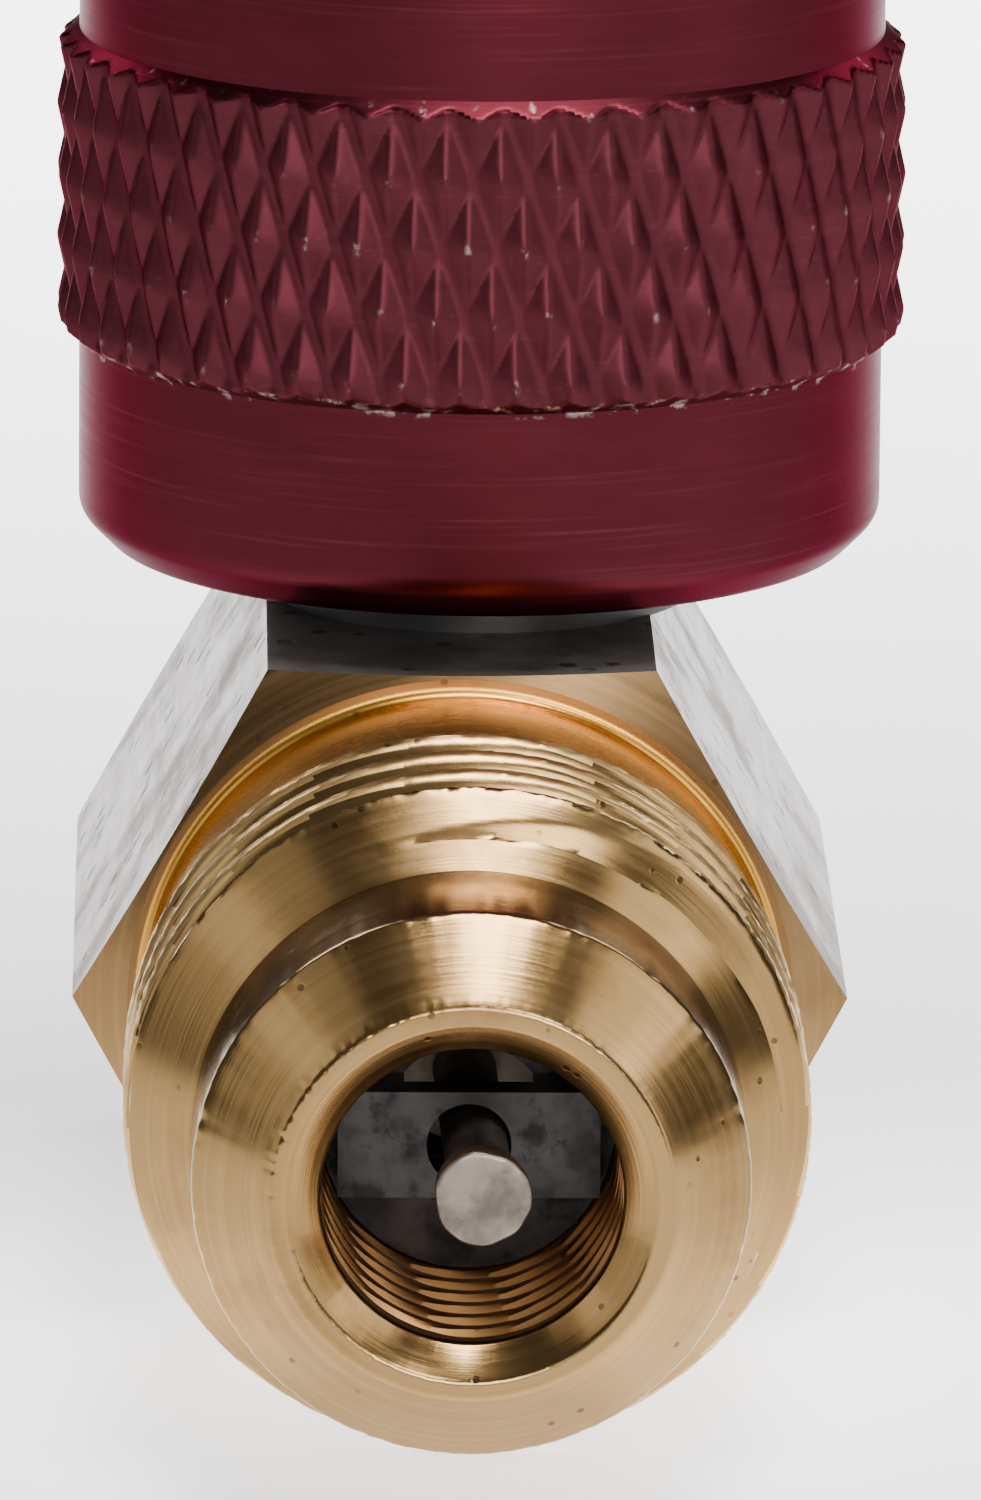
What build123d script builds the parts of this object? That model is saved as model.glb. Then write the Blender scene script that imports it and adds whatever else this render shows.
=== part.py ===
from build123d import *
import os

# Right-angle low-loss service coupler. Millimetres, +Z up along the sleeve's axis, flare outlet towards -Y,
# Z = 0 on the hexagon's lower flat.

# Elbow: 7/16 inch hexagon bar, lying along Y
hex_across_flats = 11.11
hex_half_length = 6.8
hex_corner_chamfer = 0.35
axis_z = hex_across_flats / 2
# The stem is screwed in this far to the +X side of the hexagon's middle
stem_offset = 0.37

# Flare outlet: 1/4 inch SAE, 7/16-20 UNF thread, 45 degree seat
thread_radius = 11.11 / 2
thread_pitch = 1.27
relief_radius = 5.2
relief_length = 4.0
thread_length = 3 * thread_pitch
thread_chamfer = 1.1
nose_radius = 4.45
nose_length = 2.76
seat_radius = 3.2
mouth_radius = 2.9
mouth_chamfer = 0.5
relief_front = -hex_half_length - relief_length
thread_front = relief_front - thread_length
nose_back = thread_front - thread_chamfer
cone_back = nose_back - nose_length
nose_front = cone_back - (nose_radius - seat_radius)

# Passages in the elbow
core_bore_radius = 2.4
core_seat_back = -11.1
core_seat_front = -11.7
flow_radius = 2.1
flow_end = 2.0
stem_bore_radius = 2.9
stem_bore_floor = 8.1
cross_flow_radius = 1.5

# Coupler stem, screwed into the elbow's upper flat
stem_bottom = 8.2
stem_root_radius = 2.86
stem_floor_top = 9.0
stem_floor_hole_radius = 1.1
seal_groove_bottom = 10.4
seal_groove_radius = 2.35
lower_neck_radius = 3.15
shoulder_z = 13.76
neck_radius = 4.2
flange_radius = 4.75
flange_bottom = 16.4
flange_top = 18.4
gasket_recess_radius = 4.4
gasket_lip_top = 19.0
spring_chamber_radius = 1.85
valve_chamber_bottom = 11.4
valve_chamber_radius = 2.6
valve_seat_z = 15.2
throat_radius = 1.75
neck_groove = (14.55, 15.15)
neck_groove_radius = 3.72

# Hand sleeve
sleeve_bottom = 11.94
sleeve_top = 30.0
sleeve_radius = 6.73
sleeve_chamfer = 0.6
mouth_edge_chamfer = 0.35
knurl_radius = 7.1
knurl_bottom = 15.58
knurl_top = 20.46
knurl_chamfer = 0.3
skirt_radius = 5.6
web_bottom = 13.8
web_top = 16.05
web_bore_radius = 4.27
spacer_foot_radius = 3.6
spacer_foot_top = 12.4
spacer_radius = 4.9
flange_room_radius = 5.4
insert_radius = 5.95
insert_bottom = 20.5
insert_top = 28.0
insert_bore_radius = 4.97
insert_chamfer = 0.5

# Low-loss valve in the stem
poppet_tail_bottom = 11.9
poppet_guide = (13.3, 14.4)
poppet_guide_radius = 2.52
poppet_flow_slot = 0.8
poppet_tail_radius = 1.1
poppet_stem_radius = 1.3
poppet_top = 18.6
depressor_bottom = 16.8
depressor_radius = 0.8
depressor_top = 20.2
valve_gap = 0.04
bush_slot = (0.8, 0.6)

# Valve core in the outlet
plug_front = -14.7
plug_back = -11.9
plug_radius = 2.37
plug_bore_radius = 1.35
bridge_front = -16.0
bridge_thickness = 0.7
bridge_half_width = 2.1
bridge_half_height = 0.87
bridge_hole_radius = 0.68
barrel_back = -5.7
barrel_floor_front = -6.7
barrel_radius = 1.95
barrel_bore_radius = 1.4
barrel_groove_radius = 1.6
barrel_floor_hole_radius = 0.75
pin_front = -19.4
pin_head_radius = 0.82
pin_neck_front = -18.1
pin_radius = 0.52
pin_back = -3.7
pin_collar_front = -11.1
pin_collar_back = -10.7
pin_collar_radius = 1.2
washer_front = -5.66
washer_radius = 1.6
cup_floor_front = -4.9
cup_back = -3.9
cup_radius = 1.85
cup_lip_front = -5.4
fit_gap = 0.01

flare_axis = Axis((-stem_offset, 0, axis_z), (0, 1, 0))
flare_plane = Plane.YZ.offset(-stem_offset)


def about_flare(points):
    """Points given as (place along the outlet, radius) laid out on the plane of the outlet's axis."""
    return [(along, axis_z + radius) for along, radius in points]


# The elbow's hexagon, turned outlet and passages
with BuildPart() as elbow_body:
    with BuildSketch(Plane.XZ.offset(-hex_half_length)):
        with Locations((-stem_offset, axis_z)):
            RegularPolygon(hex_across_flats / 2, 6, major_radius=False)
    extrude(amount=2 * hex_half_length)
    corner_radius = hex_across_flats / 3**0.5
    for end, inward in ((-hex_half_length, 1), (hex_half_length, -1)):
        with BuildSketch(flare_plane):
            with BuildLine():
                Polyline(
                    *about_flare(
                        [
                            (end, corner_radius - 2 * hex_corner_chamfer),
                            (end, corner_radius + hex_corner_chamfer),
                            (end + inward * 1.5 * hex_corner_chamfer, corner_radius + hex_corner_chamfer),
                        ]
                    ),
                    close=True,
                )
            make_face()
        revolve(axis=flare_axis, mode=Mode.SUBTRACT)
    with BuildSketch(flare_plane):
        with BuildLine():
            Polyline(
                *about_flare(
                    [
                        (-hex_half_length + 1, 0),
                        (-hex_half_length + 1, relief_radius),
                        (relief_front, relief_radius),
                        (relief_front, thread_radius),
                        (thread_front, thread_radius),
                        (nose_back, nose_radius),
                        (cone_back, nose_radius),
                        (nose_front, seat_radius),
                        (nose_front, 0),
                    ]
                ),
                close=True,
            )
        make_face()
    revolve(axis=flare_axis)
    with BuildSketch(flare_plane):
        with BuildLine():
            Polyline(
                *about_flare(
                    [
                        (nose_front, 0),
                        (nose_front, mouth_radius),
                        (nose_front + mouth_chamfer, core_bore_radius),
                        (core_seat_front, core_bore_radius),
                        (core_seat_back, flow_radius),
                        (flow_end, flow_radius),
                        (flow_end, 0),
                    ]
                ),
                close=True,
            )
        make_face()
    revolve(axis=flare_axis, mode=Mode.SUBTRACT)
    with BuildSketch(Plane.XY.offset(stem_bore_floor)):
        Circle(stem_bore_radius)
    extrude(amount=hex_across_flats - stem_bore_floor, mode=Mode.SUBTRACT)
    with BuildSketch(Plane.XY.offset(axis_z)):
        Circle(cross_flow_radius)
    extrude(amount=stem_bore_floor - axis_z, mode=Mode.SUBTRACT)

# Stem: threaded root, neck with a shoulder, flange with the gasket recess
with BuildPart() as coupler_stem:
    with BuildSketch(Plane.XZ):
        with BuildLine():
            Polyline(
                (stem_floor_hole_radius, stem_bottom),
                (stem_root_radius, stem_bottom),
                (stem_root_radius, seal_groove_bottom),
                (seal_groove_radius, seal_groove_bottom),
                (seal_groove_radius, hex_across_flats),
                (lower_neck_radius, hex_across_flats),
                (lower_neck_radius, shoulder_z),
                (neck_radius, shoulder_z),
                (neck_radius, neck_groove[0]),
                (neck_groove_radius, neck_groove[0]),
                (neck_groove_radius, neck_groove[1]),
                (neck_radius, neck_groove[1]),
                (neck_radius, flange_bottom),
                (flange_radius, flange_bottom),
                (flange_radius, gasket_lip_top),
                (gasket_recess_radius, gasket_lip_top),
                (gasket_recess_radius, flange_top),
                (valve_chamber_radius, flange_top),
                (valve_chamber_radius, valve_chamber_bottom),
                (spring_chamber_radius, valve_chamber_bottom),
                (spring_chamber_radius, stem_floor_top),
                (stem_floor_hole_radius, stem_floor_top),
                close=True,
            )
        make_face()
    revolve(axis=Axis.Z)


def ring_size(inner, outer):
    """Centre radius and section radius of an O-ring that fills the gap between two radii."""
    return (inner + outer) / 2, (outer - inner) / 2 - fit_gap


# O-ring at the stem's root
stem_seal_centre, stem_seal_section = ring_size(seal_groove_radius, stem_bore_radius)
with BuildPart() as stem_seal:
    with BuildSketch(Plane.XZ):
        with Locations((stem_seal_centre, (seal_groove_bottom + hex_across_flats) / 2)):
            Circle(stem_seal_section)
    revolve(axis=Axis.Z)

# Small O-ring in the neck, just clear of the sleeve's web
sleeve_oring_centre, sleeve_oring_section = ring_size(neck_groove_radius, neck_radius + 0.03)
with BuildPart() as sleeve_oring:
    with BuildSketch(Plane.XZ):
        with Locations((sleeve_oring_centre, sum(neck_groove) / 2)):
            Circle(sleeve_oring_section)
    revolve(axis=Axis.Z)

# Stepped ring clamped between the hexagon and the stem's shoulder; it carries the sleeve's web
with BuildPart() as sleeve_spacer:
    with BuildSketch(Plane.XZ):
        with BuildLine():
            Polyline(
                (lower_neck_radius + fit_gap, hex_across_flats),
                (spacer_foot_radius, hex_across_flats),
                (spacer_foot_radius, spacer_foot_top),
                (spacer_radius, spacer_foot_top),
                (spacer_radius, shoulder_z - fit_gap),
                (lower_neck_radius + fit_gap, shoulder_z - fit_gap),
                close=True,
            )
        make_face()
    revolve(axis=Axis.Z)

# Slippery washer between the web and the stem's flange
with BuildPart() as thrust_washer:
    with BuildSketch(Plane.XY.offset(web_top + 0.1)):
        Circle(flange_radius)
        Circle(neck_radius + fit_gap, mode=Mode.SUBTRACT)
    extrude(amount=flange_bottom - web_top - 0.1)

# Hand sleeve
with BuildPart() as knurled_sleeve:
    with BuildSketch(Plane.XZ):
        with BuildLine():
            Polyline(
                (skirt_radius, sleeve_bottom),
                (sleeve_radius - sleeve_chamfer, sleeve_bottom),
                (sleeve_radius, sleeve_bottom + sleeve_chamfer),
                (sleeve_radius, knurl_bottom),
                (knurl_radius, knurl_bottom + knurl_chamfer),
                (knurl_radius, knurl_top - knurl_chamfer),
                (sleeve_radius, knurl_top),
                (sleeve_radius, sleeve_top - mouth_edge_chamfer),
                (sleeve_radius - mouth_edge_chamfer, sleeve_top),
                (insert_radius, sleeve_top),
                (insert_radius, insert_bottom),
                (flange_room_radius, insert_bottom),
                (flange_room_radius, web_top),
                (web_bore_radius, web_top),
                (web_bore_radius, web_bottom),
                (skirt_radius, web_bottom),
                close=True,
            )
        make_face()
    revolve(axis=Axis.Z)

# Female thread of the sleeve, 7/16-20 UNF, drawn at its minor diameter
with BuildPart() as threaded_insert:
    with BuildSketch(Plane.XZ):
        with BuildLine():
            Polyline(
                (insert_bore_radius, insert_bottom),
                (insert_radius, insert_bottom),
                (insert_radius, insert_top),
                (insert_bore_radius + insert_chamfer, insert_top),
                (insert_bore_radius, insert_top - insert_chamfer),
                close=True,
            )
        make_face()
    revolve(axis=Axis.Z)

# Gasket that the service port's nose closes on
with BuildPart() as seat_gasket:
    with BuildSketch(Plane.XY.offset(flange_top)):
        Circle(gasket_recess_radius - 2 * fit_gap)
        Circle(throat_radius + 0.25, mode=Mode.SUBTRACT)
    extrude(amount=1.0)

# Poppet with three flow slots across its guide
with BuildPart() as poppet:
    with BuildSketch(Plane.XZ):
        with BuildLine():
            Polyline(
                (0, poppet_tail_bottom),
                (poppet_tail_radius, poppet_tail_bottom),
                (poppet_tail_radius, poppet_guide[0]),
                (poppet_guide_radius, poppet_guide[0]),
                (poppet_guide_radius, poppet_guide[1]),
                (poppet_stem_radius, poppet_guide[1]),
                (poppet_stem_radius, poppet_top),
                (depressor_radius, poppet_top),
                (depressor_radius, depressor_bottom),
                (0, depressor_bottom),
                close=True,
            )
        make_face()
    revolve(axis=Axis.Z)
    with BuildSketch(Plane.XY.offset(poppet_guide[0])):
        with PolarLocations(poppet_guide_radius, 3):
            Rectangle(poppet_flow_slot, 1.2)
    extrude(amount=poppet_guide[1] - poppet_guide[0], mode=Mode.SUBTRACT)

# Rubber face of the poppet, closed against the stem's seat
with BuildPart() as poppet_seal:
    with BuildSketch(Plane.XY.offset(poppet_guide[1])):
        Circle(poppet_guide_radius - 0.35)
        Circle(poppet_stem_radius + fit_gap, mode=Mode.SUBTRACT)
    extrude(amount=valve_seat_z - valve_gap - poppet_guide[1])

# Steel pin that presses the service port's own valve core
with BuildPart() as depressor_pin:
    with BuildSketch(Plane.XY.offset(depressor_bottom)):
        Circle(depressor_radius - fit_gap)
    extrude(amount=depressor_top - depressor_bottom)
    fillet(depressor_pin.edges().sort_by(Axis.Z)[-1], 0.3)

# Bush screwed into the stem's top: the poppet's seat and throat, with a screwdriver slot
with BuildPart() as valve_seat_bush:
    with BuildSketch(Plane.XY.offset(valve_seat_z)):
        Circle(valve_chamber_radius - fit_gap)
        Circle(throat_radius, mode=Mode.SUBTRACT)
    extrude(amount=flange_top - valve_seat_z)
    with BuildSketch(Plane.XY.offset(flange_top)):
        Rectangle(2 * valve_chamber_radius, bush_slot[0])
    extrude(amount=-bush_slot[1], mode=Mode.SUBTRACT)

# Poppet spring, between the stem's floor and the guide
poppet_wire = 0.18
poppet_spring_radius = 1.5
poppet_spring_bottom = stem_floor_top + poppet_wire + 0.02
poppet_spring_length = poppet_guide[0] - poppet_wire - 0.02 - poppet_spring_bottom
poppet_spring_turns = 5
with BuildPart() as poppet_spring:
    with BuildLine() as poppet_coil:
        Helix(
            pitch=poppet_spring_length / poppet_spring_turns,
            height=poppet_spring_length,
            radius=poppet_spring_radius,
            center=(0, 0, poppet_spring_bottom),
        )
    with BuildSketch(Plane(poppet_coil.line @ 0, z_dir=poppet_coil.line % 0)):
        Circle(poppet_wire)
    sweep(path=poppet_coil.line)

# Valve core: threaded plug with its bridge bar
with BuildPart() as core_plug:
    with BuildSketch(Plane.XZ.offset(-plug_back)):
        with Locations((-stem_offset, axis_z)):
            Circle(plug_radius)
    extrude(amount=plug_back - plug_front)
    with BuildSketch(Plane.XZ.offset(-plug_front)):
        with Locations((-stem_offset, axis_z)):
            Rectangle(2 * bridge_half_width, 2 * bridge_half_height)
    extrude(amount=plug_front - bridge_front)
    with BuildSketch(Plane.XZ.offset(-plug_back)):
        with Locations((-stem_offset, axis_z)):
            Circle(plug_bore_radius)
    extrude(amount=plug_back - bridge_front - bridge_thickness, mode=Mode.SUBTRACT)
    with BuildSketch(Plane.XZ.offset(-plug_back)):
        with Locations((-stem_offset, axis_z)):
            Circle(bridge_hole_radius)
    extrude(amount=plug_back - bridge_front, mode=Mode.SUBTRACT)

# Valve core: barrel with its spring chamber and seal groove
with BuildPart() as core_barrel:
    with BuildSketch(flare_plane):
        with BuildLine():
            Polyline(
                *about_flare(
                    [
                        (plug_back, barrel_bore_radius),
                        (plug_back, barrel_groove_radius),
                        (core_seat_back, barrel_groove_radius),
                        (core_seat_back, barrel_radius),
                        (barrel_back, barrel_radius),
                        (barrel_back, barrel_floor_hole_radius),
                        (barrel_floor_front, barrel_floor_hole_radius),
                        (barrel_floor_front, barrel_bore_radius),
                    ]
                ),
                close=True,
            )
        make_face()
    revolve(axis=flare_axis)

# Valve core: tapered seal around the barrel
seal_front = core_seat_front - 0.1
with BuildPart() as core_barrel_seal:
    with BuildSketch(flare_plane):
        with BuildLine():
            Polyline(
                *about_flare(
                    [
                        (seal_front, barrel_groove_radius + fit_gap),
                        (seal_front, core_bore_radius - 0.05),
                        (core_seat_front, core_bore_radius - 0.05),
                        (core_seat_back, flow_radius - 0.05),
                        (core_seat_back, barrel_groove_radius + fit_gap),
                    ]
                ),
                close=True,
            )
        make_face()
    revolve(axis=flare_axis)

# Valve core: pin with its mushroomed head and spring collar
with BuildPart() as core_pin:
    with BuildSketch(flare_plane):
        with BuildLine():
            Polyline(
                *about_flare(
                    [
                        (pin_front, 0),
                        (pin_front, pin_head_radius - 0.12),
                        (pin_front + 0.15, pin_head_radius),
                        (pin_front + 0.55, pin_head_radius - 0.05),
                        (pin_neck_front, pin_radius),
                        (pin_collar_front, pin_radius),
                        (pin_collar_front, pin_collar_radius),
                        (pin_collar_back, pin_collar_radius),
                        (pin_collar_back, pin_radius),
                        (pin_back, pin_radius),
                        (pin_back, 0),
                    ]
                ),
                close=True,
            )
        make_face()
    revolve(axis=flare_axis)

# Valve core: rubber washer that closes on the barrel's end
with BuildPart() as core_cup_washer:
    with BuildSketch(Plane.XZ.offset(-cup_floor_front)):
        with Locations((-stem_offset, axis_z)):
            Circle(washer_radius)
            Circle(pin_radius + fit_gap, mode=Mode.SUBTRACT)
    extrude(amount=cup_floor_front - washer_front)

# Valve core: metal cup that holds the washer
with BuildPart() as core_cup:
    with BuildSketch(flare_plane):
        with BuildLine():
            Polyline(
                *about_flare(
                    [
                        (cup_back, pin_radius + fit_gap),
                        (cup_floor_front, pin_radius + fit_gap),
                        (cup_floor_front, washer_radius + 2 * fit_gap),
                        (cup_lip_front, washer_radius + 2 * fit_gap),
                        (cup_lip_front, cup_radius),
                        (cup_back, cup_radius),
                    ]
                ),
                close=True,
            )
        make_face()
    revolve(axis=flare_axis)

# Valve core: spring between the barrel's floor and the pin's collar
core_wire = 0.14
core_spring_radius = 0.95
core_spring_back = barrel_floor_front - core_wire - 0.02
core_spring_length = core_spring_back - (pin_collar_back + core_wire + 0.02)
core_spring_turns = 6
with BuildPart() as core_spring:
    with BuildLine() as core_coil:
        Helix(
            pitch=core_spring_length / core_spring_turns,
            height=core_spring_length,
            radius=core_spring_radius,
            center=(-stem_offset, core_spring_back, axis_z),
            direction=(0, -1, 0),
        )
    with BuildSketch(Plane(core_coil.line @ 0, z_dir=core_coil.line % 0)):
        Circle(core_wire)
    sweep(path=core_coil.line)

pieces = {
    "elbow_body": elbow_body,
    "coupler_stem": coupler_stem,
    "stem_seal": stem_seal,
    "sleeve_oring": sleeve_oring,
    "sleeve_spacer": sleeve_spacer,
    "thrust_washer": thrust_washer,
    "knurled_sleeve": knurled_sleeve,
    "threaded_insert": threaded_insert,
    "seat_gasket": seat_gasket,
    "poppet": poppet,
    "poppet_seal": poppet_seal,
    "depressor_pin": depressor_pin,
    "valve_seat_bush": valve_seat_bush,
    "poppet_spring": poppet_spring,
    "core_plug": core_plug,
    "core_barrel": core_barrel,
    "core_barrel_seal": core_barrel_seal,
    "core_pin": core_pin,
    "core_cup_washer": core_cup_washer,
    "core_cup": core_cup,
    "core_spring": core_spring,
}
os.makedirs("parts", exist_ok=True)
for name, piece in pieces.items():
    piece.part.label = name
    export_step(piece.part, f"parts/{name}.step")
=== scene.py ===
import bpy
import bmesh
import math
import numpy as np
from mathutils import Matrix, Vector


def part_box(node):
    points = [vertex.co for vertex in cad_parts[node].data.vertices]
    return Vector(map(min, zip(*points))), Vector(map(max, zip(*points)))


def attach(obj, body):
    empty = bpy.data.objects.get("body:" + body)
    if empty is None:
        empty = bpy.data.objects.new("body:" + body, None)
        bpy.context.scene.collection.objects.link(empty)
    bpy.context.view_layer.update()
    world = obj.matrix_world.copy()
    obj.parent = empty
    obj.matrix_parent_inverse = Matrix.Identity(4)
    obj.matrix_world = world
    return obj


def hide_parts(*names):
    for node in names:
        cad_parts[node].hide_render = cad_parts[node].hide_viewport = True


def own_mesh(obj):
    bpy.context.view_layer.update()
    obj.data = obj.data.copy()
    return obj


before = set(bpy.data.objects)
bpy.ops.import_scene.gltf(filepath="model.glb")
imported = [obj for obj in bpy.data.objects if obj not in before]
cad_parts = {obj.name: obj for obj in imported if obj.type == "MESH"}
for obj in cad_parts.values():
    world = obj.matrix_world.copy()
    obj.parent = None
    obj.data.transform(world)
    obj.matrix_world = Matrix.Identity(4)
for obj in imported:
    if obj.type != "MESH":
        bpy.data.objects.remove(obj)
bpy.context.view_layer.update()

# Lengths below are in millimetres and are turned into metres when a mesh is made.
MM = 0.001


def node_span(node, axis):
    """Lowest and highest coordinate of a CAD node along one axis (0, 1 or 2), in millimetres."""
    low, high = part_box(node)
    return low[axis] / MM, high[axis] / MM


# Body, read from the frame
BODY_FRONT, HEX_REAR = node_span("elbow_body", 1)
HEX_LEFT, HEX_RIGHT = node_span("elbow_body", 0)
FLARE_X = (HEX_LEFT + HEX_RIGHT) / 2
HEX_FLAT = node_span("elbow_body", 2)[1] / 2
FLARE_Z = HEX_FLAT
HEX_FRONT = -HEX_REAR
HEX_FACE_R = 5.50
CENTRE_R = 0.02

# Outlet: 7/16-20 UNF thread, its relief, the nose and the 45 degree seat
THREAD_R = 5.55
THREAD_ROOT = 4.76
CREST_FLAT = 0.06
CREST_CURVE = 3.2
FLANK_SLOPE = 1.6
PITCH = 1.27
SEAT_R = 3.2
NOSE_R = 4.45
NOSE_LENGTH = 2.76
NOSE_FRONT = BODY_FRONT
CONE_BACK = NOSE_FRONT + NOSE_R - SEAT_R
NOSE_BACK = CONE_BACK + NOSE_LENGTH
THREAD_FRONT = NOSE_BACK + THREAD_R - NOSE_R
THREAD_REAR = THREAD_FRONT + 3 * PITCH
THREAD_END = THREAD_REAR + 0.75
REAR_CONE_START = THREAD_REAR + 0.08
REAR_CONE_SLOPE = 1.3
RELIEF_R = 5.2
RELIEF_EDGE_R = 5.38
RELIEF_FILLET = 0.22
MOUTH_R = 2.92
MOUTH_DEPTH = 0.50
MOUTH_FACE = NOSE_FRONT + 0.02
SEAT_EDGE = 0.17
EDGE_ROUNDING = 0.07

# Wear of the outlet's edges
BURR = 0.008
NICK = 0.018
NICK_LIMIT = 0.014
SEAT_WEAR = 0.012
CREST_WEAR = 0.026
CREST_BAND = 0.08
CHAMFER_SHARE = 0.35

# Bore of the valve core, its thread, and the passages behind it
BORE_R = 2.4
BORE_PITCH = 0.7056
BORE_THREAD_DEPTH = 0.30
BORE_ROOT_FLAT = 0.045
BORE_FLANK_SLOPE = 1.73
BORE_THREAD_FADE = 0.35
BORE_INNER, BORE_OUTER = -11.9, NOSE_FRONT + 0.75
CHAMBER_FRONT = -11.1
FLOW_R = 2.1
FLOW_END = 2.0
STEM_BORE_R = 2.9
STEM_BORE_FLOOR = 8.1
PASSAGE_R = 1.5
PASSAGE_FLOOR = STEM_BORE_FLOOR - 2.4

# Sleeve and its threaded insert
SLEEVE_BOTTOM, SLEEVE_TOP = node_span("knurled_sleeve", 2)
SLEEVE_R = 6.73
KNURL_R = node_span("knurled_sleeve", 0)[1]
KNURL_BAND = (15.50, 20.72)
KNURL_CHAMFER = 0.27
KNURL_ROW_STEP = 0.047
KNURL_DEPTH = 0.21
KNURL_FLOOR = 0.15
KNURL_STEP = 0.12
KNURL_SOFTNESS = 6
KNURL_STARTS = 48
KNURL_LEAN_LEFT = 0.375
KNURL_LEAN_RIGHT = 0.50
KNURL_GAIN = 1.12
KNURL_BLUNTING = 0.95
POINT_WEAR_START = 0.74
POINT_WEAR_SPAN = 0.15
POINT_WEAR_MOST = 0.7
EDGE_WEAR = 0.8
EDGE_WEAR_WIDTH = 0.16
SLEEVE_CHAMFER = 0.6
RIM_CHAMFER = 0.35
SKIRT_R = 5.6
WEB = (13.8, 16.05)
WEB_R = 4.27
FLANGE_ROOM_R = 5.4
INSERT_BOTTOM, INSERT_TOP = node_span("threaded_insert", 2)
INSERT_R = node_span("threaded_insert", 0)[1]
INSERT_MINOR_R = 4.97
INSERT_MAJOR_R = 5.6
INSERT_ROOT_FLAT = 0.06
INSERT_FLANK = math.radians(58)
INSERT_LEAD_IN = 0.62
INSERT_GAP = 0.01

# Camera, found from the object's own sizes in perspective
CAMERA_TARGET = Vector((0.0, -12.0, 11.1)) * MM
CAMERA_DISTANCE = 269.5 * MM
CAMERA_AZIMUTH = math.radians(1.07)
CAMERA_DOWN = math.radians(13.3)
CAMERA_ROLL = math.radians(0.43)
CAMERA_LENS = 400.8


# ---------------------------------------------------------------- mesh tools
SHARP = 38


def rounded(points, radius, steps=5):
    """An open outline with its inner corners rounded."""
    points = [np.array(p, float) for p in points]
    outline = [tuple(points[0])]
    for before, corner, after in zip(points, points[1:], points[2:]):
        back, ahead = before - corner, after - corner
        trim = min(radius, 0.45 * np.linalg.norm(back), 0.45 * np.linalg.norm(ahead))
        start = corner + back / np.linalg.norm(back) * trim
        end = corner + ahead / np.linalg.norm(ahead) * trim
        for t in np.linspace(0, 1, steps):
            outline.append(tuple((1 - t) ** 2 * start + 2 * t * (1 - t) * corner + t * t * end))
    outline.append(tuple(points[-1]))
    return outline


def around(sides):
    """The angle of each column of a mesh turned in so many sides."""
    return np.linspace(0, 2 * np.pi, sides, endpoint=False)


def phase_within(turns):
    """Signed distance to the nearest whole turn, in turns."""
    return turns - np.round(turns)


def from_helix(along, angle, start, pitch):
    """How far a place is, along the axis, from the nearest turn of a right-hand helix."""
    return np.abs(phase_within((along - start) / pitch - angle / (2 * np.pi))) * pitch


def even_steps(start, end, step):
    """Evenly spaced places from start to end, both included, about a step apart."""
    return np.linspace(start, end, max(2, int(abs(end - start) / step) + 1))


def place_on_flare(along, radius, angle):
    """Around the outlet's axis; the angle runs from +Z towards +X."""
    return FLARE_X + radius * np.sin(angle), along, FLARE_Z + radius * np.cos(angle)


def place_on_sleeve(along, radius, angle):
    """Around the sleeve's axis; the angle runs from +X towards +Y."""
    return radius * np.cos(angle), radius * np.sin(angle), along


def turned_mesh(name, stations, sides, place, ring=False):
    """A turned piece: each station is (place along the axis, radius), where either may vary with the angle.
    A ring's outline is closed on itself; otherwise both ends close in a point on the axis.
    """
    angle = around(sides)
    rows = []
    for along, radius in stations:
        x, y, z = place(along + 0 * angle, radius + 0 * angle, angle)
        rows.append(np.stack([x, y, z], 1))
    verts = np.concatenate(rows)
    count = len(stations)
    column = np.arange(sides)
    following = (column + 1) % sides
    faces = []
    for row in range(count if ring else count - 1):
        low, high = row * sides, (row + 1) % count * sides
        faces.append(np.stack([low + column, low + following, high + following, high + column], 1))
    faces = np.concatenate(faces).tolist()
    if not ring:
        ends = []
        for row in (0, count - 1):
            ends.append(rows[row].mean(0))
            centre = len(verts) + len(ends) - 1
            low = row * sides
            faces += [[centre, low + a, low + b] for a, b in zip(column.tolist(), following.tolist())]
        verts = np.concatenate([verts, np.array(ends)])
    mesh = bpy.data.meshes.new(name)
    mesh.from_pydata((verts * MM).tolist(), [], faces)
    tidy_mesh(mesh)
    return mesh


def smooth_shading(mesh, sharp):
    """Smooths the shading across every edge shallower than an angle in degrees."""
    mesh.shade_smooth()
    mesh.set_sharp_from_angle(angle=math.radians(sharp))


def tidy_mesh(mesh):
    """Points every face outwards and smooths the shading across shallow edges."""
    work = bmesh.new()
    work.from_mesh(mesh)
    bmesh.ops.recalc_face_normals(work, faces=work.faces)
    work.to_mesh(mesh)
    work.free()
    smooth_shading(mesh, SHARP)


def add_piece(name, mesh, materials, body, nodes):
    """Puts a mesh in the scene, on its body, in place of its CAD nodes."""
    piece = bpy.data.objects.new(name, mesh)
    bpy.context.scene.collection.objects.link(piece)
    for material in materials:
        mesh.materials.append(material)
    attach(piece, body)
    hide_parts(*nodes)
    return piece


def add_attribute(mesh, name, values):
    """A value at each of the mesh's points, for a material to read."""
    attribute = mesh.attributes.new(name, "FLOAT", "POINT")
    attribute.data.foreach_set("value", np.asarray(values, np.float32))


def smooth_noise(count, waves, seed):
    """A wandering value around a circle, about -1 to 1, made of a few random waves."""
    generator = np.random.default_rng(seed)
    angle = around(count)
    value = np.zeros(count)
    for wave in waves:
        value += generator.normal() * np.sin(wave * angle + generator.uniform(0, 2 * np.pi))
    return value / math.sqrt(len(waves))


# ---------------------------------------------------------------- materials
# The Mix node's colour sockets: first, second and result
MIX_FIRST, MIX_SECOND, MIX_RESULT = 6, 7, 2


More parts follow.
